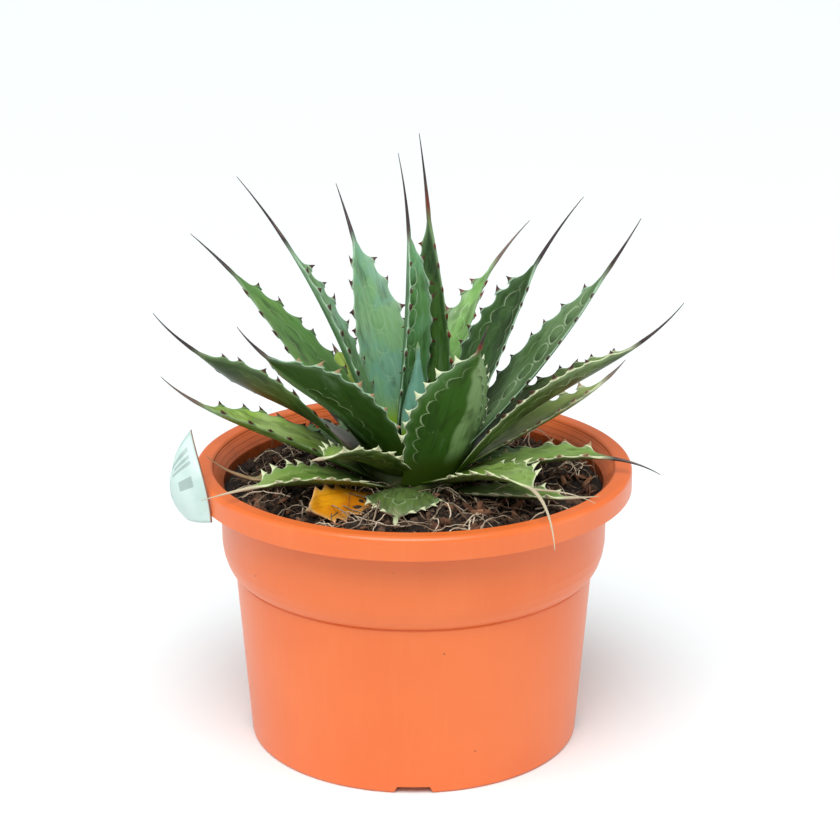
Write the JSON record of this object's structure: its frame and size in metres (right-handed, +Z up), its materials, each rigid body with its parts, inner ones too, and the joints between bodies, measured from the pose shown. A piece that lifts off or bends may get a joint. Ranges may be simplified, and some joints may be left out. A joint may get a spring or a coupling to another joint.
{
  "type": "potted agave",
  "caption": "Young agave rosette with toothed, spine-tipped leaves, rooted in soil in a round plastic nursery pot.",
  "frame": {"origin": "centre of the pot's foot, on the ground", "axes": "+Z up; -Y towards the viewer of the picture, on a drainage notch of the foot; +X to the viewer's right"},
  "size_m": [0.2882, 0.2506, 0.3382],
  "materials": {
    "pot": "satin moulded polypropylene",
    "soil": "loose damp peat, bark and fine roots",
    "stem": "pale waxy leaf bases",
    "leaf": "waxy skin with horny pale margin and dark spine",
    "young_leaf": "bluish wax bloom",
    "dry_leaf": "dry and matt",
    "tag": "thin satin film"
  },
  "bodies": {
    "root": {"pot": "pot", "soil": "soil", "stem": "stem", "tag": "tag", "leaf_bud": "young_leaf", "leaf_01": "leaf", "leaf_02": "leaf", "leaf_03": "leaf", "leaf_04": "leaf", "leaf_05": "leaf", "leaf_06": "leaf", "leaf_07": "leaf", "leaf_08": "leaf", "leaf_09": "leaf", "leaf_10": "leaf", "leaf_11": "leaf", "leaf_12": "leaf", "leaf_13": "leaf", "leaf_14": "leaf", "leaf_15": "leaf", "leaf_16": "leaf", "leaf_17": "leaf", "leaf_18": "leaf", "leaf_19": "leaf", "leaf_20": "leaf", "leaf_21": "leaf", "leaf_22": "leaf", "leaf_23": "leaf", "leaf_24": "leaf", "leaf_25": "leaf", "leaf_26": "leaf", "leaf_27": "leaf", "leaf_28": "leaf", "leaf_29": "leaf", "leaf_30": "leaf", "leaf_dry": "dry_leaf"}
  },
  "joints": []
}
